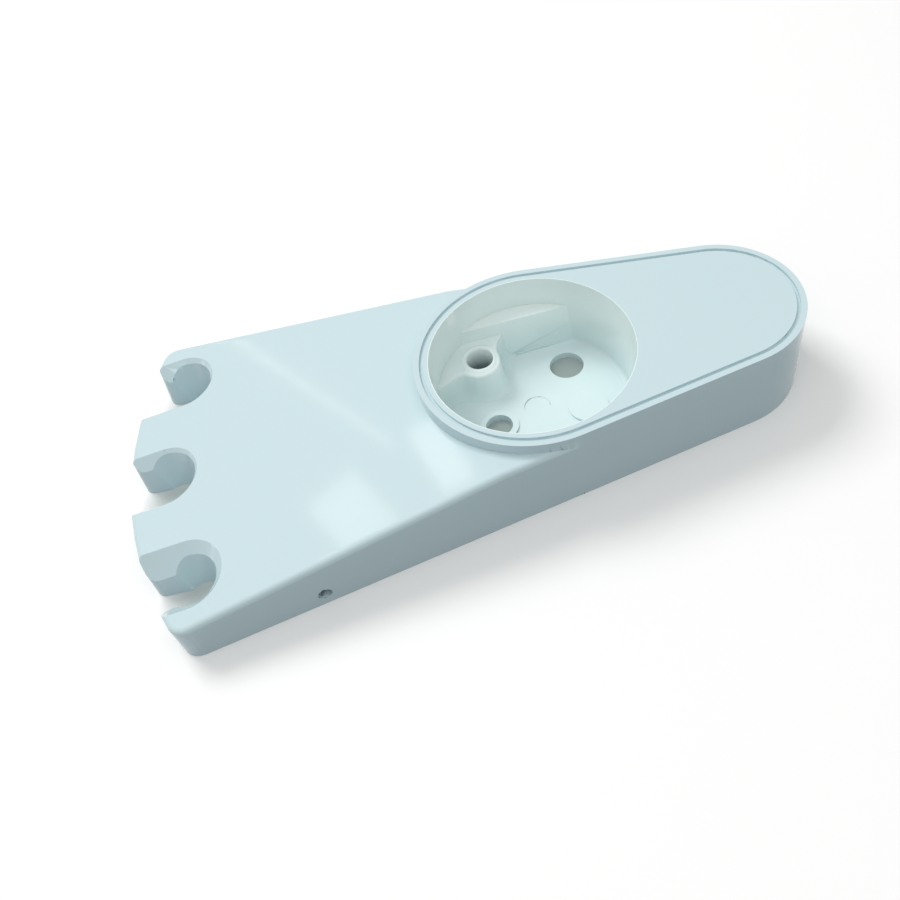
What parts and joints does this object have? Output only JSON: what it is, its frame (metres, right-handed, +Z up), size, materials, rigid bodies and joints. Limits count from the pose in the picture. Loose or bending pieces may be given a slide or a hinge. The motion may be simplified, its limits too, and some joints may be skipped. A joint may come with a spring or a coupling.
{
  "type": "dental instrument holder",
  "caption": "Moulded plastic instrument holder: sloping arm with open C-slots at the wide end and a raised teardrop turret with a round well.",
  "frame": {"origin": "centre of the underside, where the overall length and width halve", "axes": "+X towards the rounded turret end, +Y across the body, +Z up from the underside"},
  "size_m": [0.2051, 0.1078, 0.0272],
  "materials": {
    "body": "smooth glossy cool-white moulded plastic"
  },
  "bodies": {
    "root": {"body": "body"}
  },
  "joints": []
}
